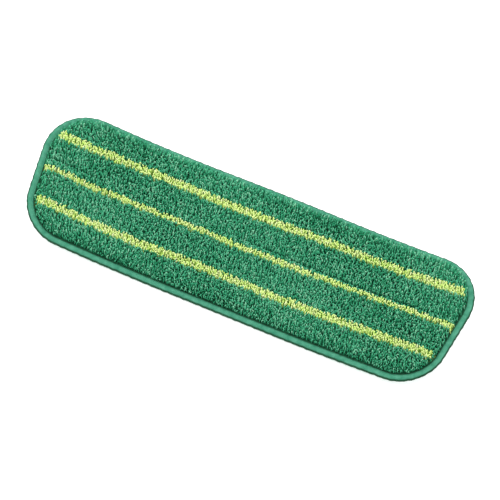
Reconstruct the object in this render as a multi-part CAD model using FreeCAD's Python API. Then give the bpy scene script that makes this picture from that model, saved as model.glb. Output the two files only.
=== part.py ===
"""Looped-pile wet pad for a flat mop: a long trapezoid of layered textile, bound round its edge.

The pad lies on its back with the pile up.  Millimetres, +Z up.
X runs along the length, +Y points to the longer long edge, and Z = 0 is the back face at the
middle of the pad, where the mop's plate grips it.  The pad is flat in the middle and both ends
curve gently upwards.
"""
import FreeCAD
import Part
import math
import os

# Plan outline of the whole pad, binding included
length = 470.0            # over the rounded ends
width = 144.0             # between the two long edges
end_step = 18.0           # how far each end comes in between the long edge and the short one
corner_radius = 48.0      # all four corners

# Upward curve of the two ends
flat_half = 55.0          # half-length of the flat middle
end_lift = 14.0           # rise of the back face at the very end

# Heights of the layers above the back face
backing_top = 1.4
core_top = 5.6
ground_top = 6.6
pile_top = 12.7

# Where the two cloths are pressed together and taken into the binding
pinch_inset = 14.0        # the core stops here
backing_pinch_low = 1.2
backing_pinch_top = 2.4
ground_pinch_top = 3.4

# Binding tape
binding_width = 8.0
binding_low = 0.3
binding_top = 5.6
binding_wall = 1.5        # tape between the cloth edge and the outside
binding_round = 2.0       # roll of the tape's outer corners

# Rounded shoulder where the pile falls away to the binding
pile_round = 3.0

# Binding seam, one thread on each face
seam_inset = 5.9
seam_width = 0.7
seam_height = 0.3

# Coloured stripes in the pile: centre line, and width
stripes = {
    "yellow_pile_far": (39.1, 9.0),
    "yellow_pile_middle": (1.3, 6.5),
    "yellow_pile_near": (-35.5, 9.0),
}
# Green bands between them, from the longer edge to the shorter one
green_names = ["green_pile_far", "green_pile_mid_far", "green_pile_mid_near", "green_pile_near"]

reach = 300.0             # half-size of construction shapes that pass right through the pad
curve_radius = ((length / 2 - flat_half) ** 2 + end_lift ** 2) / (2 * end_lift)


def corner_points(inset):
    """Virtual corners of the trapezoid, moved inwards, counter-clockwise from near left."""
    slope = math.atan2(end_step, width)
    far_half = length / 2 - corner_radius + corner_radius * (1 + math.sin(slope)) / math.cos(slope)
    half_width = width / 2 - inset
    side = far_half - inset / math.cos(slope)
    far_x = side - inset * math.tan(slope)
    near_x = side - (width - inset) * math.tan(slope)
    return [(-near_x, -half_width), (near_x, -half_width), (far_x, half_width), (-far_x, half_width)]


def rounded_corner(before, corner, after, radius):
    """The three points of the arc that rounds one corner."""
    point = FreeCAD.Vector(corner[0], corner[1], 0)
    back = (FreeCAD.Vector(before[0], before[1], 0) - point).normalize()
    ahead = (FreeCAD.Vector(after[0], after[1], 0) - point).normalize()
    half_angle = back.getAngle(ahead) / 2
    middle = (back + ahead).normalize()
    tangent = radius / math.tan(half_angle)
    depth = radius / math.sin(half_angle) - radius
    return point + back * tangent, point + middle * depth, point + ahead * tangent


def outline(inset):
    """Closed outline of the pad, moved inwards by the inset, in the plane Z = 0."""
    points = corner_points(inset)
    arcs = []
    for index, corner in enumerate(points):
        after = points[(index + 1) % len(points)]
        arcs.append(rounded_corner(points[index - 1], corner, after, corner_radius - inset))
    edges = []
    for index, arc in enumerate(arcs):
        following = arcs[(index + 1) % len(arcs)]
        edges.append(Part.Arc(arc[0], arc[1], arc[2]).toShape())
        edges.append(Part.LineSegment(arc[2], following[0]).toShape())
    return Part.Wire(edges)


def prism(inset):
    """Upright block with the pad's outline, taller than the pad."""
    block = Part.Face(outline(inset)).extrude(FreeCAD.Vector(0, 0, 2 * reach))
    block.translate(FreeCAD.Vector(0, 0, -reach))
    return block


def curve_point(height, angle, side):
    """Point at a height above the back face, at an angle round one end's curve."""
    radius = curve_radius - height
    x = side * (flat_half + radius * math.sin(angle))
    return FreeCAD.Vector(x, -reach, curve_radius - radius * math.cos(angle))


def curved_line(height, last_angle):
    """Side view of one level of the pad: curve, flat middle, curve."""
    left = [curve_point(height, last_angle * share, -1) for share in (1.0, 0.5, 0.0)]
    right = [curve_point(height, last_angle * share, 1) for share in (0.0, 0.5, 1.0)]
    return [
        Part.Arc(left[0], left[1], left[2]).toShape(),
        Part.LineSegment(left[2], right[0]).toShape(),
        Part.Arc(right[0], right[1], right[2]).toShape(),
    ]


def slab(low, high):
    """Curved slab between two heights, wider and longer than the pad."""
    last_angle = math.asin((length / 2 - flat_half + 2 * pinch_inset) / curve_radius)
    lower = curved_line(low, last_angle)
    upper = curved_line(high, last_angle)
    ends = []
    for side in (-1, 1):
        first = curve_point(low, last_angle, side)
        second = curve_point(high, last_angle, side)
        ends.append(Part.LineSegment(first, second).toShape())
    wire = Part.Wire(Part.sortEdges(lower + upper + ends)[0])
    return Part.Face(wire).extrude(FreeCAD.Vector(0, 2 * reach, 0))


def layer(inset, low, high):
    """One layer of the pad, between two heights, with its edge at the inset."""
    return slab(low, high).common(prism(inset))


def ring(outer_inset, inner_inset, low, high):
    """A layer with its middle cut out."""
    return layer(outer_inset, low, high).cut(prism(inner_inset))


def height_of(edge):
    """Height of an edge's first point above the curved back face."""
    point = edge.valueAt(edge.FirstParameter)
    beyond = max(abs(point.x) - flat_half, 0)
    return curve_radius - math.hypot(beyond, curve_radius - point.z)


def backing_cloth():
    """Loop-faced cloth on the back: flat, with its rim lifted into the binding."""
    rim = ring(binding_wall, pinch_inset, backing_pinch_low, backing_pinch_top)
    return layer(binding_width, 0, backing_top).fuse(rim).removeSplitter()


def absorbent_core():
    """Felt wadding that fills the pad inside the pinched rim."""
    return layer(pinch_inset, backing_top, core_top)


def pile_ground_cloth():
    """Knitted ground that holds the pile: over the core, down its side and into the binding."""
    cover = layer(pinch_inset - 1, core_top, ground_top)
    wall = ring(pinch_inset - 1, pinch_inset, backing_pinch_top, ground_top)
    rim = ring(binding_wall, pinch_inset, backing_pinch_top, ground_pinch_top)
    return cover.fuse([wall, rim]).removeSplitter()


def level_edges(shape, inset):
    """Edges that run round the outer rim of a layer, above and below it, but not up its wall."""
    inside = prism(inset + 1)
    steepest = math.sin(math.radians(30))
    rim = [edge for edge in shape.Edges if edge.distToShape(inside)[0] > 0.5]
    return [edge for edge in rim if abs(edge.tangentAt(edge.FirstParameter).z) < steepest]


def pile_block(ground):
    """All of the pile as one block that fills the pad inside the binding."""
    block = layer(binding_width, ground_pinch_top, pile_top)
    middle = (ground_pinch_top + pile_top) / 2
    shoulder = [edge for edge in level_edges(block, binding_width) if height_of(edge) > middle]
    inside = layer(pinch_inset, backing_top, core_top)
    return block.makeFillet(pile_round, shoulder).cut(ground).cut(inside)


def pile_strip(block, low_y, high_y):
    """The pile between two lines along the pad: a flat middle length and two curved ones."""
    lengths = []
    cuts = [-reach, -flat_half, flat_half, reach]
    for start, end in zip(cuts[:-1], cuts[1:]):
        corner = FreeCAD.Vector(start, low_y, -reach)
        box = Part.makeBox(end - start, high_y - low_y, 2 * reach, corner)
        lengths.extend(block.common(box).Solids)
    return Part.makeCompound(lengths)


def pile_strips(block):
    """Three yellow stripes, and the four green bands that they leave."""
    strips = {}
    edge = width
    for green, (yellow, (centre, across)) in zip(green_names, stripes.items()):
        strips[green] = pile_strip(block, centre + across / 2, edge)
        strips[yellow] = pile_strip(block, centre - across / 2, centre + across / 2)
        edge = centre - across / 2
    strips[green_names[-1]] = pile_strip(block, -width, edge)
    return strips


def edge_binding():
    """Tape rolled round the pad's edge, holding both cloths in its fold."""
    tape = ring(0, binding_width, binding_low, binding_top)
    fold = ring(binding_wall, binding_width, backing_pinch_low, ground_pinch_top)
    return tape.makeFillet(binding_round, level_edges(tape, 0)).cut(fold)


def seam(low):
    """Thread of the binding seam, all the way round, at one height."""
    return ring(seam_inset, seam_inset + seam_width, low, low + seam_height)


def all_parts():
    ground = pile_ground_cloth()
    parts = {
        "backing_cloth": backing_cloth(),
        "absorbent_core": absorbent_core(),
        "pile_ground_cloth": ground,
        "edge_binding": edge_binding(),
        "binding_seam_face": seam(binding_top),
        "binding_seam_back": seam(binding_low - seam_height),
    }
    parts.update(pile_strips(pile_block(ground)))
    return parts


os.makedirs("parts", exist_ok=True)
for name, shape in all_parts().items():
    solids = shape.Solids
    solid = solids[0] if len(solids) == 1 else Part.makeCompound(solids)
    solid.exportStep("parts/" + name + ".step")
    box = solid.optimalBoundingBox(True, False)
    limits = [box.XMin, box.XMax, box.YMin, box.YMax, box.ZMin, box.ZMax]
    print(name, len(solids), solid.isValid(), round(solid.Volume / 1000, 2), "cm3",
          [round(limit, 2) for limit in limits])
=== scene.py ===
# %% [markdown]
# # The pad of a flat mop
#
# A flat mop's pad is a sandwich of textiles. Loops of microfibre yarn stand on a knitted ground
# cloth, wadding lies under them, and a second cloth with a brushed, loopy back closes the pad and
# clings to the hook strips of the mop's plate. A tape is rolled round the rim and sewn through
# all the layers. This lesson builds each of these layers in turn, around a frame that already
# holds their places and sizes. The frame is loaded first, and its box gives the pad's measures.

# %% The frame
import math

import bpy
import numpy as np
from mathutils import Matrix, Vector


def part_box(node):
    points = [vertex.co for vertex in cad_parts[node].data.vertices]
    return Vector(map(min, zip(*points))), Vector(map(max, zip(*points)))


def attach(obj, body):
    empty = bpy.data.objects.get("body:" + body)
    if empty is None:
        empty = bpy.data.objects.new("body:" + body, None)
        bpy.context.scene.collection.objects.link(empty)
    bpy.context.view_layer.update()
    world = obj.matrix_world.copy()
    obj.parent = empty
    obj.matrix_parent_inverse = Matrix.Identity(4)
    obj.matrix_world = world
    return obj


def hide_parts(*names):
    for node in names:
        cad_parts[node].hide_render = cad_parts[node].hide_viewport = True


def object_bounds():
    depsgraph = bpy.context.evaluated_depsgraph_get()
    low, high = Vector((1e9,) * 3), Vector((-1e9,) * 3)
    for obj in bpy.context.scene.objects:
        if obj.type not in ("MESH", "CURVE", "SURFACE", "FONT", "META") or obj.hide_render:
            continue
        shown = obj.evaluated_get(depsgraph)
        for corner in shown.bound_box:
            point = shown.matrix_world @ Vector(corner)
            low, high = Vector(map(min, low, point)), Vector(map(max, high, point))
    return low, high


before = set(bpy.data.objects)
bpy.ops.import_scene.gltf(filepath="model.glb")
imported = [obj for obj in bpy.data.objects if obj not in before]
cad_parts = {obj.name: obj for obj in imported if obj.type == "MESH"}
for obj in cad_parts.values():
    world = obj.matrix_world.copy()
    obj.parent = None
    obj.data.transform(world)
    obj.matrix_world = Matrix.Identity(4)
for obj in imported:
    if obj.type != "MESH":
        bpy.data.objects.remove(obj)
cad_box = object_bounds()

body = "root"
scene = bpy.context.scene
bpy.ops.object.select_all(action="DESELECT")
print("nodes in the frame:", sorted(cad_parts))

# %% [markdown]
# The camera comes first, because everything else is judged through it. It stands a long way off
# with a long lens, and looks down on the pad from the side of its
# shorter long edge. Its turn and height are angles round the pad, so its place follows from them
# by plain trigonometry. It aims a few millimetres off the pad's middle to centre the outline.

# %% The camera
view_turn = math.radians(23.64)
view_height = math.radians(67.77)
view_distance = 5.0
lens = 355.5
aim = Vector((0.0014, 0.0050, 0.0016))

towards_camera = Vector((
    math.cos(view_height) * math.sin(view_turn),
    -math.cos(view_height) * math.cos(view_turn),
    math.sin(view_height),
))
bpy.ops.object.camera_add(
    location=aim + view_distance * towards_camera,
    rotation=(math.pi / 2 - view_height, 0, view_turn),
)
camera = bpy.context.object
camera.data.lens = lens
camera.data.clip_end = 3 * view_distance
scene.camera = camera
print("camera at", [round(v, 3) for v in camera.location])

# %% [markdown]
# Sizes come in two kinds. Most are read from the frame, such as the pad's length and width, the
# width of the binding and the heights of the layers. A few describe the outline and the gentle
# upward curve of the ends. They repeat the values of the design, in metres.

# %% Sizes
mm = 0.001
low, high = cad_box
length = high[0] - low[0]
width = high[1] - low[1]
end_step = 18 * mm           # how far each end comes in towards the shorter long edge
corner_radius = 48 * mm
flat_half = 55 * mm          # half-length of the flat middle
end_lift = 14 * mm           # rise of the back at the very end
curve_radius = ((length / 2 - flat_half) ** 2 + end_lift ** 2) / (2 * end_lift)
binding_width = high[1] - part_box("green_pile_far")[1][1]


def middle_heights(node):
    """Lowest and highest point of a CAD node in the flat middle of the pad."""
    points = np.array([v.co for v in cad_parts[node].data.vertices])
    heights = points[np.abs(points[:, 0]) < flat_half + 0.1 * mm][:, 2]
    return float(heights.min()), float(heights.max())


core_low, core_high = middle_heights("absorbent_core")
ground_low, ground_high = middle_heights("pile_ground_cloth")
binding_low, binding_high = middle_heights("edge_binding")
pile_top = middle_heights("green_pile_mid_far")[1]
pinch_inset = high[1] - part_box("absorbent_core")[1][1]
stripe_names = ["yellow_pile_far", "yellow_pile_middle", "yellow_pile_near"]
stripe_edges = []            # from the far edge of the far stripe to the near edge of the near one
for stripe in stripe_names:
    lowest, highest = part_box(stripe)
    stripe_edges += [highest[1], lowest[1]]
print("length, width, binding:", round(length, 4), round(width, 4), round(binding_width, 4))
print("binding:", binding_low, binding_high, "ground:", ground_low, ground_high, "pile:", pile_top)

# %% [markdown]
# Small helpers keep the cells short. One selects an object alone, because an operator acts on
# everything that is selected. Another selects points or edges in edit mode by a rule, as a person
# would box-select them. A third adds a modifier and applies it.

# %% Helpers for selecting
def only_none():
    """Leaves nothing selected, in object mode."""
    if bpy.context.mode != "OBJECT":
        bpy.ops.object.mode_set(mode="OBJECT")
    bpy.ops.object.select_all(action="DESELECT")


def only(piece):
    """Makes one object the only selected one, in object mode."""
    only_none()
    piece.select_set(True)
    bpy.context.view_layer.objects.active = piece


def pick(piece, kind, rule):
    """In edit mode, selects the points whose place, or edges whose length, obeys the rule."""
    bpy.ops.mesh.select_mode(type={"vertices": "VERT", "edges": "EDGE"}[kind])
    bpy.ops.mesh.select_all(action="DESELECT")
    bpy.ops.object.mode_set(mode="OBJECT")
    mesh = piece.data
    for item in getattr(mesh, kind):
        if kind == "vertices":
            item.select = rule(item.co)
        else:
            start, end = (mesh.vertices[i].co for i in item.vertices)
            item.select = rule((end - start).length)
    bpy.ops.object.mode_set(mode="EDIT")


def add_modifier(piece, kind, **settings):
    """Adds a modifier with its settings and applies it."""
    only(piece)
    modifier = piece.modifiers.new(kind.lower(), kind)
    for name, value in settings.items():
        setattr(modifier, name, value)
    bpy.ops.object.modifier_apply(modifier=modifier.name)


# %% [markdown]
# Every layer of the pad has the same outline, a long trapezoid with round corners, only smaller
# by an inset. It starts as a plane, which is stretched to the trapezoid. A bevel on its four
# points rounds the corners. The cut-off at a point is the radius over the tangent of half its
# angle, so the two wide corners and the two narrow ones take different amounts. The straight
# edges are then divided, so that the outline can follow the curve of the pad. The face may come
# out pointing either way, so it is turned up: an inset with a height follows the face's normal.

# %% The outline
slope = math.atan2(end_step, width)
far_half = length / 2 - corner_radius + corner_radius * (1 + math.sin(slope)) / math.cos(slope)
near_half = far_half - end_step
rim_step = 1.8 * mm          # distance between points on the rim


def pad_outline(name):
    """A flat face with the pad's outline at height zero, left in edit mode."""
    only_none()
    bpy.ops.mesh.primitive_plane_add(size=2)
    piece = bpy.context.object
    piece.name = name
    piece.data.name = name
    bpy.ops.object.mode_set(mode="EDIT")
    bpy.ops.transform.resize(value=(far_half, width / 2, 1))
    pick(piece, "vertices", lambda point: point.y < 0)
    bpy.ops.transform.resize(value=(near_half / far_half, 1, 1), center_override=(0, 0, 0))
    for side, lean in ((-1, slope), (1, -slope)):
        half_angle = (math.pi / 2 + lean) / 2
        pick(piece, "vertices", lambda point: point.y * side > 0)
        bpy.ops.mesh.bevel(
            affect="VERTICES",
            offset=corner_radius / math.tan(half_angle),
            offset_type="OFFSET",
            segments=int(corner_radius * math.pi / 2 / rim_step),
            profile=0.5,
        )
    bpy.ops.mesh.select_mode(type="FACE")
    bpy.ops.mesh.select_all(action="SELECT")
    bpy.ops.mesh.delete(type="ONLY_FACE")
    too_long = True
    while too_long:
        pick(piece, "edges", lambda size: size > 1.5 * rim_step)
        too_long = any(edge.select for edge in piece.data.edges)
        bpy.ops.mesh.subdivide(number_cuts=1)
    bpy.ops.mesh.select_all(action="SELECT")
    bpy.ops.mesh.edge_face_add()
    bpy.ops.mesh.select_mode(type="FACE")
    bpy.ops.object.mode_set(mode="OBJECT")
    faces_down = piece.data.polygons[0].normal.z < 0
    bpy.ops.object.mode_set(mode="EDIT")
    if faces_down:
        bpy.ops.mesh.flip_normals()
    return piece


gauge = pad_outline("outline_gauge")
bpy.ops.object.mode_set(mode="OBJECT")
face = gauge.data.polygons[0]
rim = np.array([gauge.data.vertices[i].co[:2] for i in face.vertices])
rim_box = rim.min(0), rim.max(0)
outline_area = face.area
print("rim points:", len(rim), "box:", rim_box, "area:", round(outline_area, 5))
only(gauge)
bpy.ops.object.delete()

# %% [markdown]
# Two more measures of the rim are wanted later: how far inside the pad a point lies, and a line
# that runs round the pad at an inset, for seams. Both come from the points of the rim and the
# directions that point inwards from it.

# %% Measures of the rim
following = np.roll(rim, -1, 0)
if (rim[:, 0] * following[:, 1] - rim[:, 1] * following[:, 0]).sum() < 0:
    rim = rim[::-1]          # anticlockwise, so that inwards is on the left
ahead = np.roll(rim, -1, 0) - np.roll(rim, 1, 0)
ahead /= np.linalg.norm(ahead, axis=1)[:, None]
inwards = np.column_stack([-ahead[:, 1], ahead[:, 0]])


def depth_inside(x, y):
    """How far each point lies inside the rim, negative outside."""
    depths = np.empty(len(x))
    for start in range(0, len(x), 2000):
        part = slice(start, start + 2000)
        away = np.column_stack([x[part], y[part]])[:, None, :] - rim[None]
        nearest = (away ** 2).sum(2).argmin(1)
        rows = np.arange(len(nearest))
        depths[part] = (away[rows, nearest] * inwards[nearest]).sum(1)
    return depths


def rim_line(inset, spacing):
    """Evenly spaced points on a line round the pad at an inset, with the direction at each."""
    line = rim + inset * inwards
    closed = np.vstack([line, line[:1]])
    steps = np.linalg.norm(np.diff(closed, axis=0), axis=1)
    along = np.concatenate([[0], np.cumsum(steps)])
    count = round(along[-1] / spacing)
    places = np.linspace(0, along[-1], count, endpoint=False)
    points = np.column_stack([np.interp(places, along, closed[:, i]) for i in (0, 1)])
    turned = np.column_stack([np.interp(places, along[:-1], ahead[:, i]) for i in (0, 1)])
    return points, turned / np.linalg.norm(turned, axis=1)[:, None]


print("middle is", round(float(depth_inside(np.zeros(1), np.zeros(1))[0]), 4), "inside")

# %% [markdown]
# Each layer is modelled flat and then laid into the pad's real shape. The middle stays flat on
# the floor and both ends curve up along an arc, so a point only rises. The pile side also rolls
# very slightly, as soft textile does. This grows with height above the back, which stays flat for
# the plate to grip. The far edge also bows out by 2 mm near its middle.

# %% Laying a flat piece into the pad's shape
roll_height = 0.5 * mm
roll_limit = 1.2             # the roll stops growing at this share of the pile's height
hill_lengths = 31 * mm, 19 * mm
hill_phases = 1.3, 0.4
ripple_lengths = 13 * mm, 23 * mm
ripple_share = 0.6           # of the hills' height
bow = 2.0 * mm               # of the far edge
bow_from = 44 * mm           # beyond the far stripe
bow_middle = 25 * mm
bow_reach = 100 * mm


def soft_roll(x, y):
    """Slow, shallow hills in the pile side."""
    hills = np.sin(x / hill_lengths[0] + hill_phases[0])
    hills = hills * np.sin(y / hill_lengths[1] + hill_phases[1])
    ripples = np.sin(x / ripple_lengths[0] + y / ripple_lengths[1])
    return roll_height * (hills + ripple_share * ripples)


def laid(points):
    """Moves flat points into the curved pad."""
    x, y, z = points.T
    share = np.clip(z / pile_top, 0, roll_limit)
    risen = z + share * soft_roll(x, y) * (z > binding_low)
    beyond = np.clip(np.abs(x) - flat_half, 0, None)
    bowed = bow * np.exp(-((x - bow_middle) / bow_reach) ** 2)
    y = y + bowed * np.clip((y - bow_from) / (width / 2 - bow_from), 0, None)
    height = curve_radius - np.sqrt((curve_radius - risen) ** 2 - beyond ** 2)
    return np.column_stack([x, y, height])


def points_of(piece):
    """The points of a piece, as rows of x, y and z."""
    flat = np.empty(len(piece.data.vertices) * 3)
    piece.data.vertices.foreach_get("co", flat)
    return flat.reshape(-1, 3)


def lay(piece):
    """Lays a finished flat piece into the pad's shape."""
    only(piece)
    piece.data.vertices.foreach_set("co", laid(points_of(piece)).ravel())
    piece.data.update()
    return piece


# %% [markdown]
# A textile is matt, so its material is mostly colour, a soft sheen from the ends of its fibres
# and fine relief. One function turns a colour code into the linear values that Blender works
# with, and one adds a node with its settings and links. All the finishes are made from these.

# %% Helpers for materials
def colour(code):
    """Linear colour of an sRGB hex code."""
    values = [int(code[i:i + 2], 16) / 255 for i in (0, 2, 4)]
    linear = [v / 12.92 if v <= 0.04045 else ((v + 0.055) / 1.055) ** 2.4 for v in values]
    return (*linear, 1)


def add_node(tree, kind, values=None, links=None, **settings):
    """Adds a node, sets its options and input values, and links its inputs."""
    node = tree.nodes.new(kind)
    for name, value in settings.items():
        setattr(node, name, value)
    for name, value in (values or {}).items():
        node.inputs[name].default_value = value
    for name, output in (links or {}).items():
        tree.links.new(output, node.inputs[name])
    return node


def cloth_material(name, roughness, sheen, sheen_tint):
    """An empty textile finish: its tree, its shader and its object coordinates."""
    material = bpy.data.materials.new(name)
    material.use_nodes = True
    tree = material.node_tree
    shader = tree.nodes["Principled BSDF"]
    shader.inputs["Roughness"].default_value = roughness
    shader.inputs["Sheen Weight"].default_value = sheen
    shader.inputs["Sheen Roughness"].default_value = 0.6
    shader.inputs["Sheen Tint"].default_value = sheen_tint
    shader.inputs["Specular IOR Level"].default_value = 0.25
    place = add_node(tree, "ShaderNodeTexCoord").outputs["Object"]
    return material, tree, shader, place


def ramp(tree, factor, stops, interpolation="LINEAR"):
    """A colour ramp through (position, colour code) stops."""
    node = add_node(tree, "ShaderNodeValToRGB", links={"Fac": factor})
    node.color_ramp.interpolation = interpolation
    elements = node.color_ramp.elements
    while len(elements) < len(stops):
        elements.new(0.5)
    for element, (position, code) in zip(elements, stops):
        element.position = position
        element.color = colour(code)
    return node.outputs["Color"]


# %% [markdown]
# Two facts about the pile are wanted before it is made. It leans a little away from the shorter
# long edge, so its tops lie off its roots. And no stripe runs quite straight: all three slant
# slightly to the rim and wander, as a soft knit is pulled about in sewing.

# %% The lean of the pile and the run of the stripes
loop_height = 6.4 * mm       # from root to top
usual_lean = -0.05, 0.20     # along and across the pad, in radians
top_shift = loop_height * math.sin(usual_lean[1])
stripe_slant = 0.01
wander_height = 1.1 * mm
wander_lengths = 33 * mm, 27 * mm
wander_phase = 3.95


def stripe_wander(x, y):
    """How far a stripe lies off its straight line."""
    wave = np.sin(x / wander_lengths[0] + y / wander_lengths[1] + wander_phase)
    return stripe_slant * x + wander_height * wave


# %% [markdown]
# The pile is microfibre: polyester and polyamide split finer than silk, spun into a soft yarn and
# left in loops. The eye sees a bright matt yarn with two twisted plies, and no two loops take the
# dye and the light quite alike. So each loop carries its own tone as an attribute, a slow noise
# adds lighter and darker patches, and the plies are bands that run slantwise along the yarn's own
# UV map. The yarn's UV map runs along it in metres and once round it.

# %% Looped microfibre
ply_pitch = 1.6 * mm         # length of yarn in which one ply goes round once
plies = 2
ply_depth = 0.25 * mm
patch_size = 28 * mm
patch_strength = 0.25        # of the slow noise, beside each loop's own tone
wave_unit = 2 * math.pi / 10  # a wave texture repeats each time its place grows by this


def looped_microfibre(name, stops, sheen_tint):
    """Dyed microfibre loop yarn, from its darkest to its lightest tone."""
    material, tree, shader, place = cloth_material(name, 0.9, 0.12, sheen_tint)
    tone = add_node(tree, "ShaderNodeAttribute", attribute_name="tone").outputs["Fac"]
    patches = add_node(
        tree, "ShaderNodeTexNoise", {"Scale": 1 / patch_size, "Detail": 2.0}, {"Vector": place}
    ).outputs["Fac"]
    uneven = add_node(
        tree, "ShaderNodeMath", {1: 0.5}, {0: patches}, operation="SUBTRACT"
    ).outputs["Value"]
    mixed = add_node(
        tree, "ShaderNodeMath", {1: patch_strength}, {0: uneven, 2: tone}, operation="MULTIPLY_ADD"
    ).outputs["Value"]
    tree.links.new(ramp(tree, mixed, stops), shader.inputs["Base Color"])
    yarn = add_node(tree, "ShaderNodeUVMap", uv_map="yarn").outputs["UV"]
    slanted = add_node(
        tree, "ShaderNodeMapping",
        {"Scale": (wave_unit / ply_pitch, wave_unit * plies, 1)}, {"Vector": yarn},
    ).outputs["Vector"]
    twist = add_node(
        tree, "ShaderNodeTexWave", {"Scale": 1.0, "Distortion": 0.0}, {"Vector": slanted},
        bands_direction="DIAGONAL",
    ).outputs["Fac"]
    relief = add_node(
        tree, "ShaderNodeBump", {"Strength": 0.6, "Distance": ply_depth}, {"Height": twist}
    ).outputs["Normal"]
    tree.links.new(relief, shader.inputs["Normal"])
    return material


green_microfibre = looped_microfibre(
    "green_looped_microfibre",
    [(0.0, "06623E"), (0.3, "188C5E"), (0.6, "48B285"), (0.95, "8CD6AF")], colour("9FE0C4"),
)
yellow_microfibre = looped_microfibre(
    "yellow_looped_microfibre",
    [(0.0, "C8F274"), (0.3, "D8FA84"), (0.6, "EAFFA2"), (0.95, "F6FFC4")], colour("F4FFD0"),
)

# %% [markdown]
# The other textiles are simpler. The binding is a smooth knitted tape, so it shows fine ribs, and
# painted shade on the outside of its roll and in the groove by its seam leaves a soft light along
# its middle. The ground cloth is a dense warp knit that is seen only as the dark floor between
# loops. The back is a knit whose loops are brushed up for the hooks, and the wadding is a needled
# felt.

# %% Knitted, brushed and felted textiles
mottle_size = 7 * mm
knit_depth = 0.3 * mm
tape_reach = 10 * mm         # from the tape's fold to the end of its shading


def knitted(name, stops, rib, strength, sheen, sheen_tint, uv=None):
    """A fine knit: ribs one way, broken by stitches the other way."""
    material, tree, shader, place = cloth_material(name, 0.85, sheen, sheen_tint)
    if uv:
        place = add_node(tree, "ShaderNodeUVMap", uv_map=uv).outputs["UV"]
    mottle = add_node(
        tree, "ShaderNodeTexNoise", {"Scale": 1 / mottle_size, "Detail": 5.0}, {"Vector": place}
    ).outputs["Fac"]
    tree.links.new(ramp(tree, mottle, stops), shader.inputs["Base Color"])
    waves = []
    for direction in ("X", "Y"):
        waves.append(add_node(
            tree, "ShaderNodeTexWave",
            {"Scale": wave_unit / rib, "Distortion": 1.5, "Detail": 1.0, "Detail Scale": 2.0},
            {"Vector": place}, bands_direction=direction,
        ).outputs["Fac"])
    weave = add_node(
        tree, "ShaderNodeMath", None, {0: waves[0], 1: waves[1]}, operation="MULTIPLY"
    ).outputs["Value"]
    relief = add_node(
        tree, "ShaderNodeBump", {"Strength": strength, "Distance": knit_depth}, {"Height": weave}
    ).outputs["Normal"]
    tree.links.new(relief, shader.inputs["Normal"])
    return material


def show_stripe_feet(material, code):
    """Tints the ground cloth where the yarn of a stripe is knitted into it."""
    tree = material.node_tree
    base = tree.nodes["Principled BSDF"].inputs["Base Color"]
    place = add_node(tree, "ShaderNodeTexCoord").outputs["Object"]
    across = add_node(
        tree, "ShaderNodeVectorMath", {1: (-stripe_slant, 1, 0)}, {0: place},
        operation="DOT_PRODUCT",
    ).outputs["Value"]
    share = add_node(
        tree, "ShaderNodeMapRange",
        {"From Min": -width / 2 - top_shift, "From Max": width / 2 - top_shift}, {"Value": across},
    ).outputs["Result"]
    stops = [(0.0, "000000")]
    for number, edge in enumerate(reversed(stripe_edges)):
        stops.append((edge / width + 0.5, "000000" if number % 2 else "FFFFFF"))
    mask = ramp(tree, share, stops, "CONSTANT")
    mixed = add_node(
        tree, "ShaderNodeMix", {"B": colour(code)},
        {"Factor": mask, "A": base.links[0].from_socket}, data_type="RGBA",
    ).outputs["Result"]
    tree.links.new(mixed, base)


def paint_shade_on_tape_edges(material):
    """Paints shade onto the tape round the outside of its roll and in the groove beside the seam.
    """
    tree = material.node_tree
    base = tree.nodes["Principled BSDF"].inputs["Base Color"]
    tape = add_node(tree, "ShaderNodeUVMap", uv_map="tape").outputs["UV"]
    across = add_node(tree, "ShaderNodeSeparateXYZ", links={"Vector": tape}).outputs["Y"]
    from_fold = add_node(
        tree, "ShaderNodeMath", None, {0: across}, operation="ABSOLUTE"
    ).outputs["Value"]
    share = add_node(
        tree, "ShaderNodeMapRange", {"From Max": tape_reach}, {"Value": from_fold}
    ).outputs["Result"]
    # painted shade: the ramp darkens the outside of the roll and the groove by the seam
    shade = ramp(tree, share, [
        (0.30, "407C60"), (0.42, "FFFFFF"), (0.76, "FFFFFF"), (0.88, "54806A"),
    ])
    darker = add_node(
        tree, "ShaderNodeMix", {"Factor": 1.0}, {"A": base.links[0].from_socket, "B": shade},
        data_type="RGBA", blend_type="MULTIPLY",
    ).outputs["Result"]
    tree.links.new(darker, base)


binding_tape = knitted(
    "knitted_polyester_tape", [(0.3, "33896A"), (0.7, "5AAA8B")], 0.9 * mm, 0.6, 0.15,
    colour("B5EBD6"), uv="tape",
)
paint_shade_on_tape_edges(binding_tape)
ground_knit = knitted(
    "warp_knit_ground", [(0.3, "14593A"), (0.7, "1F704C")], 1.2 * mm, 0.8, 0.1, colour("5FA585")
)
show_stripe_feet(ground_knit, "86AE4C")
backing_knit = knitted(
    "brushed_loop_knit", [(0.3, "C9CCCB"), (0.7, "DFE1E0")], 1.4 * mm, 0.9, 0.6, colour("FFFFFF")
)
core_felt = knitted(
    "needled_felt", [(0.3, "D8D6CE"), (0.7, "EFEDE6")], 2.5 * mm, 0.5, 0.4, colour("FFFFFF")
)
sewing_thread = knitted(
    "spun_polyester_thread", [(0.3, "2C8160"), (0.7, "3A9672")], 0.35 * mm, 0.6, 0.3,
    colour("A0DCC4"),
)
print("finishes:", [material.name for material in bpy.data.materials])


def dress(piece, material, slot, *nodes):
    """Gives a piece its finish and its body, and hides the CAD nodes that it stands for."""
    piece.data.materials.clear()
    piece.data.materials.append(material)
    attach(piece, body)
    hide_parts(*nodes)


# %% [markdown]
# The binding is one strip of tape rolled round the rim. Its section is drawn by insets: from the
# outline, each inset takes the face a little further in and up to the next row of the roll. A
# second outline, turned over, makes the underside in the same way. The two are merged along the
# rim, and a Solidify modifier gives the tape its thickness on the inner side.

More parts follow.
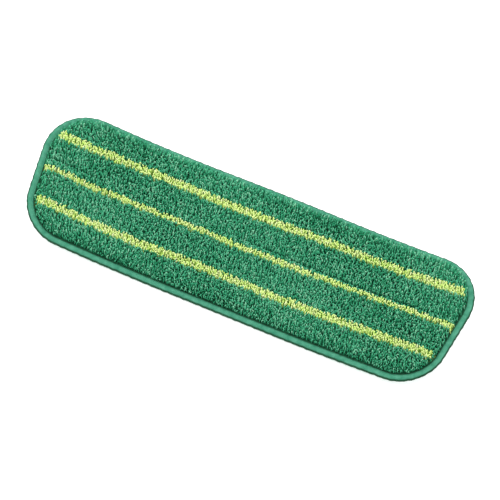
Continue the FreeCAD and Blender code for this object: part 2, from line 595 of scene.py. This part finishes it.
# %% Binding tape
tape_thickness = 0.9 * mm
half_binding = (binding_high - binding_low) / 2
groove = 0.82, 0.54          # where the seam draws the tape down
roll_rows = [                # share of the width, share of the half-height
    (0.01, 0.25), (0.04, 0.50), (0.10, 0.74), (0.19, 0.90), (0.30, 0.99), (0.42, 1.02),
    (0.54, 0.96), (0.66, 0.80), (0.75, 0.62), groove, (0.90, 0.62), (0.97, 0.56), (1.02, 0.35),
]
under_rows = [(0.03, 0.40), (0.10, 0.72), (0.22, 0.92), (0.40, 1.0), (0.75, 1.0), (1.0, 0.92)]


def inset_rows(rows, across, upwards):
    """Insets the selected face row by row, each with its own height."""
    at_inset, at_height = 0.0, 0.0
    for inset, height in rows:
        bpy.ops.mesh.inset(
            thickness=inset * across - at_inset,
            depth=height * upwards - at_height,
            use_boundary=True,
        )
        at_inset, at_height = inset * across, height * upwards


def half_roll(name, rows, turned_over):
    """The upper or lower half of the roll, open in the middle and along the rim."""
    piece = pad_outline(name)
    if turned_over:
        bpy.ops.mesh.flip_normals()
    inset_rows(rows, binding_width, half_binding)
    bpy.ops.mesh.delete(type="FACE")
    bpy.ops.object.mode_set(mode="OBJECT")
    return piece


binding = half_roll("edge_binding_tape", roll_rows, False)
underside = half_roll("binding_underside", under_rows, True)
only(binding)
underside.select_set(True)
bpy.ops.object.join()
bpy.ops.object.mode_set(mode="EDIT")
bpy.ops.mesh.select_all(action="SELECT")
bpy.ops.mesh.remove_doubles(threshold=0.02 * mm)
bpy.ops.transform.translate(value=(0, 0, binding_low + half_binding))
bpy.ops.object.mode_set(mode="OBJECT")
print("binding:", len(binding.data.polygons), "faces", [round(v, 4) for v in binding.dimensions])

# %% [markdown]
# The ribs of the tape run across it all the way round, so the tape needs its own UV map: metres
# round the rim one way, and metres across the section the other way, from the middle of the
# outside. Where a face joins the end of the rim to its start, the start counts as past the end.
# The same measures pucker the tape a little where the seam pulls it in, and let the outside of
# the roll waver.

# %% The tape's own coordinates
seam_inset = groove[0] * binding_width
pucker_height = 0.09 * mm
pucker_lengths = 7.1 * mm, 11.3 * mm
seam_reach = 0.4 * binding_width
rim_pucker = 0.15 * mm       # how far the outside of the roll wavers in and out
rim_reach = 0.3 * binding_width


def tape_map(piece):
    """Gives the tape its map, puckers it along the seam and returns its length."""
    points = points_of(piece)
    middle = binding_low + half_binding
    steps = np.linalg.norm(np.roll(rim, -1, 0) - rim, axis=1)
    along = np.concatenate([[0], np.cumsum(steps)])
    nearest = np.empty(len(points), int)
    for start in range(0, len(points), 2000):
        away = points[start:start + 2000, None, :2] - rim[None]
        nearest[start:start + 2000] = (away ** 2).sum(2).argmin(1)
    inset = np.maximum(((points[:, :2] - rim[nearest]) * inwards[nearest]).sum(1), 0)
    side = np.sign(points[:, 2] - middle)
    across = side * (inset + np.abs(points[:, 2] - middle))
    uv = piece.data.uv_layers.new(name="tape")
    for face in piece.data.polygons:
        round_rim = np.array([along[nearest[i]] for i in face.vertices])
        if np.ptp(round_rim) > along[-1] / 2:
            round_rim = np.where(round_rim < along[-1] / 2, round_rim + along[-1], round_rim)
        for corner, index, place in zip(face.loop_indices, face.vertices, round_rim):
            uv.data[corner].uv = (place, across[index])
    pucker = np.sin(2 * math.pi * along[nearest] / pucker_lengths[0])
    pucker += np.sin(2 * math.pi * along[nearest] / pucker_lengths[1])
    near_seam = np.exp(-((inset - seam_inset) / seam_reach) ** 2)
    points[:, 2] += pucker_height * pucker * near_seam * (side > 0)
    near_rim = np.exp(-(inset / rim_reach) ** 2)
    points[:, :2] += inwards[nearest] * (rim_pucker * pucker * near_rim)[:, None]
    piece.data.vertices.foreach_set("co", points.ravel())
    return along[-1]


rim_length = tape_map(binding)
add_modifier(
    binding, "SOLIDIFY", thickness=tape_thickness, offset=-1, use_even_offset=True
)
bpy.ops.object.shade_smooth()
lay(binding)
dress(binding, binding_tape, "binding_tape", "edge_binding")
print("tape goes round", round(rim_length, 3), "m;", len(binding.data.polygons), "faces")

# %% [markdown]
# The two cloths and the wadding are layers with a shaped rim. Each starts as the outline, taken
# in by a first inset whose outer ring is deleted, and then stepped by more insets up or down to
# its flat middle. The middle is one large face, so it is bisected along and across into cells
# that can follow the pad's curve. A Solidify modifier gives it the cloth's thickness.

# %% A cloth with a shaped rim
cell = 8 * mm


def inset_sheet(name, first_inset, rows):
    """A layer whose rim passes through rows of (inset from the pad's rim, height)."""
    piece = pad_outline(name)
    bpy.ops.mesh.inset(thickness=first_inset, depth=0, use_boundary=True)
    bpy.ops.mesh.select_all(action="INVERT")
    bpy.ops.mesh.delete(type="FACE")
    bpy.ops.mesh.select_all(action="SELECT")
    bpy.ops.transform.translate(value=(0, 0, rows[0][1]))
    at_inset, at_height = first_inset, rows[0][1]
    for inset, height in rows[1:]:
        bpy.ops.mesh.inset(
            thickness=inset - at_inset, depth=height - at_height, use_boundary=True
        )
        at_inset, at_height = inset, height
    for axis, reach in ((0, length / 2), (1, width / 2)):
        for place in np.arange(cell - reach, reach, cell):
            bpy.ops.mesh.select_all(action="SELECT")
            point = [0, 0, 0]
            normal = [0, 0, 0]
            point[axis] = place
            normal[axis] = 1
            bpy.ops.mesh.bisect(plane_co=point, plane_no=normal)
    bpy.ops.object.mode_set(mode="OBJECT")
    return piece


# %% [markdown]
# The ground cloth is pressed flat at its edge, inside the fold of the binding. It then climbs the
# side of the wadding and is stretched over it.

# %% Ground cloth of the pile
cloth_edge = 1.6 * mm        # the cut edge of both cloths, inside the tape
cloth_thickness = 1.0 * mm
pinched = (core_low + core_high) / 2 - 0.6 * mm
ground_rows = [
    (cloth_edge, pinched + 0.5 * mm),
    (binding_width, pinched + 0.5 * mm),
    (binding_width + 2 * mm, pinched + 0.8 * mm),
    (pinch_inset - 2 * mm, ground_high - 0.9 * mm),
    (pinch_inset, ground_high - 0.15 * mm),
    (pinch_inset + 3 * mm, ground_high),
]
ground = inset_sheet("pile_ground_knit", cloth_edge, ground_rows)
add_modifier(ground, "SOLIDIFY", thickness=cloth_thickness, offset=-1)
bpy.ops.object.shade_smooth()
lay(ground)
dress(ground, ground_knit, "ground_knit", "pile_ground_cloth")

# %% [markdown]
# The backing lies flat on the floor. Towards its edge it lifts a little to enter the binding. Its
# underside is the outer face, so the sheet is modelled at that level and thickened upwards.

# %% Backing cloth
backing_rows = [
    (cloth_edge, 1.3 * mm),
    (binding_width - 1 * mm, 1.3 * mm),
    (binding_width + 1 * mm, 0.45 * mm),
    (binding_width + 3 * mm, 0.1 * mm),
    (binding_width + 6 * mm, 0.0),
]
backing = inset_sheet("backing_loop_knit", cloth_edge, backing_rows)
add_modifier(backing, "SOLIDIFY", thickness=cloth_thickness, offset=1)
bpy.ops.object.shade_smooth()
lay(backing)
dress(backing, backing_knit, "backing_loop_cloth", "backing_cloth")

# %% [markdown]
# The wadding is hidden, but a reader who hides the cloths should find a believable core: a felt
# slab whose edge is pressed thin, crowned a little towards the middle. It is closed by a second
# sheet with the same edge.

# %% Absorbent core
core_middle = core_low + 0.3 * (core_high - core_low)
core_gap = 0.05 * mm
core = inset_sheet("core_felt_slab", pinch_inset, [
    (pinch_inset, core_middle),
    (pinch_inset + 0.6 * mm, core_middle + 1.4 * mm),
    (pinch_inset + 2.0 * mm, core_high - 0.7 * mm),
    (pinch_inset + 5.0 * mm, ground_high - cloth_thickness - core_gap),
])
core_under = inset_sheet("core_underside", pinch_inset, [
    (pinch_inset, core_middle),
    (pinch_inset + 1.0 * mm, core_low + 0.2 * mm),
    (pinch_inset + 3.0 * mm, core_low),
])
only(core_under)
bpy.ops.object.mode_set(mode="EDIT")
bpy.ops.mesh.select_all(action="SELECT")
bpy.ops.mesh.flip_normals()
only(core)
core_under.select_set(True)
bpy.ops.object.join()
bpy.ops.object.mode_set(mode="EDIT")
bpy.ops.mesh.select_all(action="SELECT")
bpy.ops.mesh.remove_doubles(threshold=0.02 * mm)
only(core)
bpy.ops.object.shade_smooth()
lay(core)
dress(core, core_felt, "core_felt", "absorbent_core")
print("core:", len(core.data.polygons), "faces")

# %% [markdown]
# One loop of yarn is modelled by hand and then copied thousands of times, so it must be light. A
# five-sided circle is one leg's foot. It is extruded up, spun through half a turn for the arch
# and extruded down again. While the loop is still plain, its UV map is worked out: along the yarn
# and round it. A SimpleDeform modifier then twists it, because a loop of twisted yarn never lies
# in one plane, and the loop is turned back until its arch lies along X. Four loops with different
# twist and openness are enough for a lively pile.

# %% One loop of yarn
yarn = 1.0 * mm              # thickness
foot_depth = 0.8 * mm        # the part inside the ground cloth
yarn_sides = 5
arch_steps = 4


def yarn_loop(name, opening, turn):
    """A loop standing on the origin: opening is between its legs, turn is its twist."""
    only_none()
    arch_base = loop_height - opening / 2 - yarn / 2
    bpy.ops.mesh.primitive_circle_add(
        vertices=yarn_sides, radius=yarn / 2, fill_type="NGON",
        location=(-opening / 2, 0, -foot_depth),
    )
    piece = bpy.context.object
    piece.name = name
    bpy.ops.object.transform_apply(location=True, rotation=True, scale=True)
    bpy.ops.object.mode_set(mode="EDIT")
    bpy.ops.mesh.select_all(action="SELECT")
    leg = (arch_base + foot_depth) / 2
    for step in range(2):
        bpy.ops.mesh.extrude_region_move(TRANSFORM_OT_translate={"value": (0, 0, leg)})
    bpy.ops.mesh.spin(
        steps=arch_steps, angle=math.pi, center=(0, 0, arch_base), axis=(0, -1, 0),
        use_normal_flip=False,
    )
    for step in range(2):
        bpy.ops.mesh.extrude_region_move(TRANSFORM_OT_translate={"value": (0, 0, -leg)})
    bpy.ops.mesh.select_all(action="SELECT")
    bpy.ops.mesh.remove_doubles(threshold=0.01 * mm)
    bpy.ops.mesh.normals_make_consistent(inside=False)
    bpy.ops.object.mode_set(mode="OBJECT")
    yarn_map(piece, opening, arch_base)
    add_modifier(piece, "SIMPLE_DEFORM", deform_method="TWIST", deform_axis="Z", angle=turn)
    points = points_of(piece)
    arch = points[points[:, 2] > arch_base][:, :2]
    lengthwise = np.linalg.eigh(np.cov(arch.T))[1][:, 1]
    piece.rotation_euler.z = -math.atan2(lengthwise[1], lengthwise[0])
    bpy.ops.object.transform_apply(location=False, rotation=True, scale=False)
    return piece


def yarn_map(piece, opening, arch_base):
    """UV map of a plain loop: metres along the yarn, and turns round it."""
    x, y, z = points_of(piece).T
    radius = opening / 2
    over = z > arch_base + 0.01 * mm
    sweep = np.arctan2(z - arch_base, -x)
    leg_side = np.where(x < 0, z, math.pi * radius + 2 * arch_base - z)
    along = np.where(over, arch_base + sweep * radius, leg_side)
    from_middle = np.where(over, np.hypot(x, z - arch_base) - radius, np.abs(x) - radius)
    around = np.arctan2(y, from_middle) / (2 * math.pi)
    uv = piece.data.uv_layers.new(name="yarn")
    for face in piece.data.polygons:
        turns = np.array([around[i] for i in face.vertices])
        if np.ptp(turns) > 0.5:
            turns = np.where(turns < 0, turns + 1, turns)
        for corner, index, share in zip(face.loop_indices, face.vertices, turns):
            uv.data[corner].uv = (along[index], share)


loop_kinds = [
    yarn_loop("loop_tight", 1.3 * mm, math.radians(150)),
    yarn_loop("loop_plain", 1.6 * mm, math.radians(60)),
    yarn_loop("loop_open", 2.0 * mm, math.radians(-90)),
    yarn_loop("loop_curled", 1.7 * mm, math.radians(-200)),
]
for kind in loop_kinds:
    print(kind.name, len(kind.data.vertices), "points,", len(kind.data.polygons), "faces",
          [round(v * 1000, 2) for v in kind.dimensions])

# %% [markdown]
# The pile is planted as it is knitted: in columns of loops that run across the pad, a little
# askew, every second column standing a little lower. Each root is moved about slightly. Near the
# rim the ground is low and the loops are shorter, so the pile has a round shoulder. They lean
# outwards along the two long edges and a little inwards at the ends.

# %% Roots of the loops
chance = np.random.default_rng(18)
column_pitch = 2.3 * mm      # between columns
loop_pitch = 1.60 * mm       # between the loops of one column
column_slant = 0.2           # how far a column runs askew, as a share of its length
unevenness = 0.10            # of the two pitches
shoulder = 7 * mm


def pile_roots():
    """Place of each root, its depth inside the binding, and whether its column stands lower."""
    half_rows = int(width / 2 / loop_pitch) + 1
    half_columns = int((length + column_slant * width) / 2 / column_pitch) + 1
    column, row = np.meshgrid(
        np.arange(-half_columns, half_columns + 1), np.arange(-half_rows, half_rows + 1)
    )
    lower = column.ravel() % 2
    y = (row.ravel() + 0.5 * lower) * loop_pitch
    x = column.ravel() * column_pitch - column_slant * y
    x += chance.normal(0, unevenness * column_pitch, x.size)
    y += chance.normal(0, unevenness * loop_pitch, y.size)
    depth = depth_inside(x, y)
    kept = depth > binding_width + 0.2 * yarn
    return x[kept], y[kept], depth[kept] - binding_width, lower[kept]


root_x, root_y, root_depth, lower_column = pile_roots()
print(len(root_x), "loops; deepest root", round(float(root_depth.max()), 4), "inside the binding")

# %% [markdown]
# How a loop stands is what makes the pile look real. The whole pile leans a little away from the
# shorter long edge. Each loop's arch lies roughly along its column, and every loop differs a
# little in turn, lean, height and tone. On top of that come slow changes over the pad: brushed
# patches in which the loops lean the same way, and one parting beside the middle stripe, where
# the pile has been folded and opens to its dark ground.

# %% How the loops stand
parting_y = 8 * mm
parting_width = 2.6 * mm
parting_wave = 60 * mm       # the parting comes and goes over this length
parting_bias = 0.7
parting_lean = 0.25          # in radians, to either side
parting_drop = 0.25          # share of the height lost in it
brush = 0.06, 0.08           # slow lean along and across the pad, in radians
brush_waves = (23 * mm, 17 * mm), (37 * mm, 29 * mm)
chance_lean = 0.09
chance_turn = 0.65
bend = 0.5                   # a loop bends more towards its top, by this share of its lean
rim_lean_ends = -0.12        # the ends pull the loops in, the long edges spread them out
rim_lean_far = 0.85
rim_lean_near = 0.15
rim_drop = 0.18              # share of the height lost at the rim
rim_roundness = 1.5
chance_height = 0.05
# the deeper tone of the lower columns is painted shade
lower_and_shade_share = 0.12           # by which every second column is lower, and deeper in tone
usual_tone = 0.62
chance_tone = 0.17


def brushed(x, y):
    """Slow field of leaning, along and across the pad, in radians."""
    first, second = brush_waves
    along = brush[0] * np.sin(x / first[0] + 2 * np.sin(y / first[1]))
    across = brush[1] * np.sin(x / second[0] + y / second[1] + 1.0)
    return along + usual_lean[0], across + usual_lean[1]


def stand(x, y, depth, lower):
    """Turn, leaning, height and tone of each loop, and its own part of its lean across."""
    count = len(x)
    turn = math.pi / 2 + math.atan(column_slant) + chance.normal(0, chance_turn, count)
    lean_x, lean_y = brushed(x, y)
    lean_x = lean_x + chance.normal(0, chance_lean, count)
    own_lean = chance.normal(0, chance_lean, count)
    lean_y = lean_y + own_lean
    from_rim = (x[:, None] - rim[None, ::4, 0]) ** 2 + (y[:, None] - rim[None, ::4, 1]) ** 2
    outwards = -inwards[::4][from_rim.argmin(1)]
    rim_share = np.clip(1 - depth / shoulder, 0, 1)
    rim_lean_across = np.where(outwards[:, 1] > 0, rim_lean_far, rim_lean_near)
    lean_x += outwards[:, 0] * rim_lean_ends * rim_share
    lean_y += outwards[:, 1] * rim_lean_across * rim_share
    along_parting = (np.sin(x / parting_wave) + parting_bias).clip(0, 1)
    parted = np.exp(-((y - parting_y) / parting_width) ** 2) * along_parting
    lean_y += parting_lean * parted * np.sign(y - parting_y)
    height = chance.normal(1.0, chance_height, count) * (1 - lower_and_shade_share * lower)
    height *= 1 - rim_drop * rim_share ** rim_roundness - parting_drop * parted
    # painted shade: the lower columns are made deeper in tone
    tone = chance.normal(usual_tone, chance_tone, count) - lower_and_shade_share * lower
    return turn, lean_x, lean_y, height, tone, own_lean


turns, lean_x, lean_y, stand_height, tones, own_lean = stand(
    root_x, root_y, root_depth, lower_column
)


def ground_level(depth):
    """Height of the ground cloth at a depth inside the binding."""
    inset = [row[0] - binding_width for row in ground_rows[1:]]
    return np.interp(depth, inset, [row[1] for row in ground_rows[1:]])


# %% [markdown]
# The eye follows a stripe by the tops of its loops, which lie off their roots. So a loop's colour
# follows from its root, from the usual lean of the pile and from its own chance lean. A little
# more chance keeps the stripe's border ragged. The slow brushing is left out of this sum, so it
# pulls the whole stripe about. The two wide stripes stop just short of the binding, and the
# narrow middle one runs into it.

# %% Which band each loop is in
border_raggedness = 0.20 * mm
arch_overhang = 0.4 * mm     # how far a loop's arch reaches beyond its root, over the next band
stripe_stop = 2.5 * mm       # the two wide stripes stop this far short of the binding
green_names = ["green_pile_far", "green_pile_mid_far", "green_pile_mid_near", "green_pile_near"]

border_y = root_y + top_shift + loop_height * (1 + bend) * np.sin(own_lean)
border_y -= stripe_wander(root_x, root_y)
border_y += chance.normal(0, border_raggedness, len(root_y))
band_of_root = np.zeros(len(root_y), int)
for number, edge in enumerate(stripe_edges):
    band_of_root += border_y < edge - (-1) ** number * arch_overhang
wide_stripe = (band_of_root == 1) | (band_of_root == 5)
band_of_root[wide_stripe & (root_depth < stripe_stop)] -= 1
print(np.bincount(band_of_root), "loops in each band")

# %% [markdown]
# Planting copies the points, faces and UV map of a modelled loop to every root. The copies are
# made with arrays, because thousands of operator calls would take hours. Each copy is stretched
# to its height, turned about its root, leaned over and set down on the ground cloth. Painted shade
# makes the yarn deeper in tone towards its foot, down in the pile. The whole band is then laid
# into the pad's shape.

# %% Planting a band
# painted shade, deepening the tone of each loop towards its foot
foot_shade_depth = 0.40
foot_shade_reach = 0.8             # share of a loop's height over which its tone deepens


def copied(model, placed, count, tone):
    """Arrays for many copies of a small model, given all their points and tones."""
    mesh = model.data
    corners = np.empty(len(mesh.loops), int)
    starts = np.empty(len(mesh.polygons), int)
    uvs = np.empty(2 * len(mesh.loops))
    mesh.loops.foreach_get("vertex_index", corners)
    mesh.polygons.foreach_get("loop_start", starts)
    mesh.uv_layers["yarn"].uv.foreach_get("vector", uvs)
    copies = np.arange(count)[:, None]
    return (
        laid(placed),
        (corners[None] + copies * len(mesh.vertices)).ravel(),
        (starts[None] + copies * len(corners)).ravel(),
        np.tile(uvs.reshape(-1, 2), (count, 1)),
        tone,
    )


def planted_points(points, x, y, level, height, turn, lean_x, lean_y):
    """Points of one modelled loop at many roots."""
    cos, sin = np.cos(turn)[:, None], np.sin(turn)[:, None]
    local_x, local_y, local_z = points.T[:, None, :]
    turned_x = local_x * cos - local_y * sin
    turned_y = local_x * sin + local_y * cos
    risen = local_z * height[:, None]
    upright = np.clip(risen, 0, None)
    curl = 1 + bend * upright / loop_height
    drop = 1 - 0.5 * (lean_x ** 2 + lean_y ** 2)[:, None]
    return np.stack([
        x[:, None] + turned_x + upright * curl * np.sin(lean_x)[:, None],
        y[:, None] + turned_y + upright * curl * np.sin(lean_y)[:, None],
        level[:, None] + risen * drop,
    ], axis=2).reshape(-1, 3)


def painted_foot_shade(points):
    """Painted shade: how much deeper in tone each point of a loop is than its top."""
    return foot_shade_depth * np.clip(1 - points[:, 2] / (foot_shade_reach * loop_height), 0, 1)


kind_of_loop = chance.integers(0, len(loop_kinds), len(root_x))


def plant(name, chosen):
    """One band of pile from the chosen roots."""
    parts = []
    for number, kind in enumerate(loop_kinds):
        these = chosen & (kind_of_loop == number)
        points = points_of(kind)
        placed = planted_points(
            points, root_x[these], root_y[these], ground_level(root_depth[these]),
            stand_height[these], turns[these], lean_x[these], lean_y[these],
        )
        tone = tones[these][:, None] - painted_foot_shade(points)
        parts.append(copied(kind, placed, int(these.sum()), tone.ravel()))
    return assemble(name, parts)


def assemble(name, parts):
    """One mesh object from parts given as arrays."""
    first_point, first_corner = 0, 0
    corners, starts = [], []
    for points, part_corners, part_starts, uvs, tone in parts:
        corners.append(part_corners + first_point)
        starts.append(part_starts + first_corner)
        first_point += len(points)
        first_corner += len(part_corners)
    points, uvs, tone = (np.concatenate([part[i] for part in parts]) for i in (0, 3, 4))
    corners, starts = np.concatenate(corners), np.concatenate(starts)
    mesh = bpy.data.meshes.new(name)
    mesh.vertices.add(len(points))
    mesh.vertices.foreach_set("co", points.ravel())
    mesh.loops.add(len(corners))
    mesh.loops.foreach_set("vertex_index", corners)
    mesh.polygons.add(len(starts))
    mesh.polygons.foreach_set("loop_start", starts)
    mesh.polygons.foreach_set("use_smooth", np.ones(len(starts), bool))
    mesh.uv_layers.new(name="yarn").uv.foreach_set("vector", uvs.ravel())
    mesh.attributes.new("tone", "FLOAT", "POINT").data.foreach_set("value", tone)
    mesh.update(calc_edges=True)
    mesh.validate()
    piece = bpy.data.objects.new(name, mesh)
    scene.collection.objects.link(piece)
    return piece


# %% [markdown]
# Each band of one colour is planted in two halves, left and right of the middle. That keeps every
# mesh light enough to handle, and a knit hides the join.

# %% Planting every band
pile_pieces = []
halves = {"left": root_x < 0, "right": root_x >= 0}


def plant_band(node, number, material, slot):
    """Both halves of the band of yarn that stands for one CAD node."""
    for half, inside in halves.items():
        band = plant(f"{node}_{half}_loops", (band_of_root == number) & inside)
        dress(band, material, slot, node)
        pile_pieces.append(band)


for number, node in enumerate(green_names):
    plant_band(node, 2 * number, green_microfibre, "green_microfibre")
for number, node in enumerate(stripe_names):
    plant_band(node, 2 * number + 1, yellow_microfibre, "yellow_microfibre")
for kind in loop_kinds:
    only(kind)
    bpy.ops.object.delete()
for band in pile_pieces:
    print(band.name, len(band.data.polygons) * 2, "triangles or so")

# %% [markdown]
# The seam that holds the binding is a lockstitch: the needle thread shows as a row of short
# stitches on the face, and the bobbin thread as a like row on the back. One stitch is a thin
# cylinder. A bisect marks off each end, and the end is pushed down into the tape.

# %% One stitch
stitch_length = 3.0 * mm
stitch_pitch = 3.4 * mm
thread = 0.5 * mm
stitch_bend = 0.36           # from the middle to where an end bends down, of the stitch's length
stitch_tip = 0.45            # beyond this share there is only the tip
stitch_dip = 0.9 * thread


def stitch_model():
    """A short stitch along X, its two ends turned down."""
    only_none()
    bpy.ops.mesh.primitive_cylinder_add(
        vertices=6, radius=thread / 2, depth=stitch_length, rotation=(0, math.pi / 2, 0)
    )
    piece = bpy.context.object
    bpy.ops.object.transform_apply(location=True, rotation=True, scale=True)
    bpy.ops.object.mode_set(mode="EDIT")
    for side in (-1, 1):
        bpy.ops.mesh.select_all(action="SELECT")
        bpy.ops.mesh.bisect(
            plane_co=(side * stitch_bend * stitch_length, 0, 0), plane_no=(1, 0, 0)
        )
        pick(piece, "vertices", lambda point: point.x * side > stitch_tip * stitch_length)
        bpy.ops.transform.translate(value=(0, 0, -stitch_dip))
    bpy.ops.object.mode_set(mode="OBJECT")
    piece.data.uv_layers.new(name="yarn")
    return piece


# %% [markdown]
# Copies of the stitch follow a line round the pad, each turned to the line's direction. The face
# row lies in the groove of the tape, and the back row hangs under it.

# %% Rows of stitches
stitch_lift = 0.1 * thread   # of the face row above the groove
thread_tone = 0.5


def stitch_row(name, stitch, inset, level, up):
    """Stitches along a line round the pad, standing up (1) or hanging down (-1)."""
    middles, directions = rim_line(inset, stitch_pitch)
    points = points_of(stitch)
    cos, sin = directions[:, 0][:, None], directions[:, 1][:, None]
    local_x, local_y, local_z = points.T[:, None, :]
    flip = local_y * up              # turned over about its length, not mirrored
    placed = np.stack([
        middles[:, 0][:, None] + local_x * cos - flip * sin,
        middles[:, 1][:, None] + local_x * sin + flip * cos,
        level + local_z * up + 0 * cos,
    ], axis=2).reshape(-1, 3)
    tone = np.full(len(placed), thread_tone)
    return assemble(name, [copied(stitch, placed, len(middles), tone)])


seam_level = binding_low + half_binding * (1 + groove[1]) + stitch_lift
stitch = stitch_model()
face_seam = stitch_row("binding_needle_stitches", stitch, seam_inset, seam_level, 1)
back_seam = stitch_row("binding_bobbin_stitches", stitch, seam_inset, thread / 2, -1)
dress(face_seam, sewing_thread, "sewing_thread", "binding_seam_face")
dress(back_seam, sewing_thread, "sewing_thread", "binding_seam_back")
only(stitch)
bpy.ops.object.delete()
print("stitches:", len(face_seam.data.polygons) // 18, "on each face")

# %% [markdown]

# %% [markdown]
# The studio floor is white paper that glows a little, so that the pad's shadow almost vanishes. A
# white world lights the pad evenly from all round, and one very large soft lamp above and behind
# it gives the loops their bright tops. The standard view keeps the floor white and the greens
# clear.

# %% Floor and light
floor_size = 6.0
only_none()
bpy.ops.mesh.primitive_plane_add(size=floor_size, location=(0, 0, -0.05 * mm))
floor = bpy.context.object
floor.name = "floor"
paper = bpy.data.materials.new("studio_paper")
paper.use_nodes = True
paper_inputs = paper.node_tree.nodes["Principled BSDF"].inputs
paper_inputs["Base Color"].default_value = colour("F7F7F7")
paper_inputs["Roughness"].default_value = 0.9
paper_inputs["Emission Color"].default_value = (1, 1, 1, 1)
paper_inputs["Emission Strength"].default_value = 0.55
floor.data.materials.append(paper)

world = bpy.data.worlds.new("studio")
world.use_nodes = True
sky = world.node_tree.nodes["Background"].inputs
sky["Color"].default_value = (1, 1, 1, 1)
sky["Strength"].default_value = 0.60
scene.world = world

lamp_place = Vector((-0.4, 0.6, 1.7))
bpy.ops.object.light_add(type="AREA", location=lamp_place)
lamp = bpy.context.object
lamp.rotation_euler = lamp_place.to_track_quat("Z", "Y").to_euler()
lamp.data.shape = "DISK"
lamp.data.size = 3.0
lamp.data.energy = 42
scene.view_settings.view_transform = "Standard"
